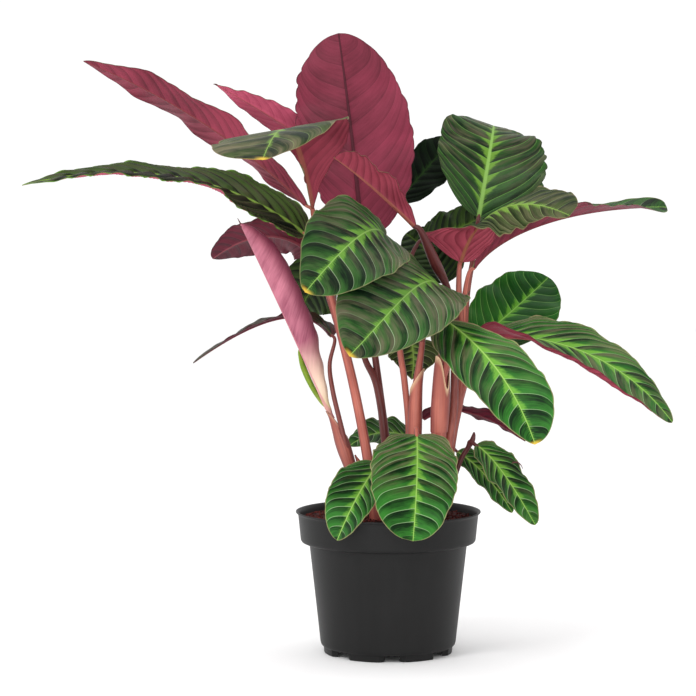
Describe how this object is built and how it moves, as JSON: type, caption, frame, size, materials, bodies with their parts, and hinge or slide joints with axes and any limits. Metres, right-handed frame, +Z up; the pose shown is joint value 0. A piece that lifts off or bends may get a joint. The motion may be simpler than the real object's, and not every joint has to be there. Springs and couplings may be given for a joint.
{
  "type": "potted plant",
  "caption": "Leafy houseplant with patterned green leaves and purple undersides on pink stalks, standing in soil in a round black nursery pot.",
  "frame": {"origin": "middle of the pot's underside, on the table", "axes": "+Z up, -Y towards the front of the picture, +X to the right in it"},
  "size_m": [0.6493, 0.3358, 0.6352],
  "materials": {
    "pot_plastic": "black moulded plastic with a fine satin sheen",
    "soil": "loose red-brown potting soil, matte",
    "stalk": "smooth salmon-pink living stalk",
    "dark_stalk": "smooth dark maroon-brown living stalk",
    "leaf_green": "dark green leaf with lighter feathering and a satin sheen; purple underneath",
    "leaf_purple_side": "leaf seen from its burgundy underside, satin; dark green on the other face"
  },
  "bodies": {
    "root": {"pot": "pot_plastic", "soil": "soil", "shoot_left": "stalk", "shoot_front": "stalk", "shoot_back": "dark_stalk", "shoot_centre": "stalk", "shoot_right": "stalk", "leaf_back_tall": "leaf_purple_side", "leaf_left_spear": "leaf_purple_side", "leaf_left_small": "leaf_purple_side", "leaf_left_arched": "leaf_green", "leaf_centre_twisted": "leaf_purple_side", "leaf_left_long": "leaf_green", "leaf_left_low": "leaf_purple_side", "leaf_left_rolled": "leaf_purple_side", "leaf_centre_upper": "leaf_green", "leaf_centre_lower": "leaf_green", "leaf_right_hanging": "leaf_green", "leaf_right_dark": "leaf_green", "leaf_right_broad": "leaf_green", "leaf_back_right": "leaf_green", "leaf_right_arched": "leaf_green", "leaf_right_long": "leaf_purple_side", "leaf_back_striped": "leaf_green", "leaf_back_striped_low": "leaf_green", "leaf_back_dark": "leaf_green", "leaf_left_thin": "leaf_green", "leaf_back_shaded": "leaf_green", "leaf_back_drooping": "leaf_green", "leaf_young_back": "leaf_green", "leaf_young_right": "leaf_green", "leaf_rim_front": "leaf_green", "leaf_rim_left": "leaf_green", "leaf_rim_right": "leaf_green", "leaf_rim_right_small": "leaf_green"}
  },
  "joints": []
}
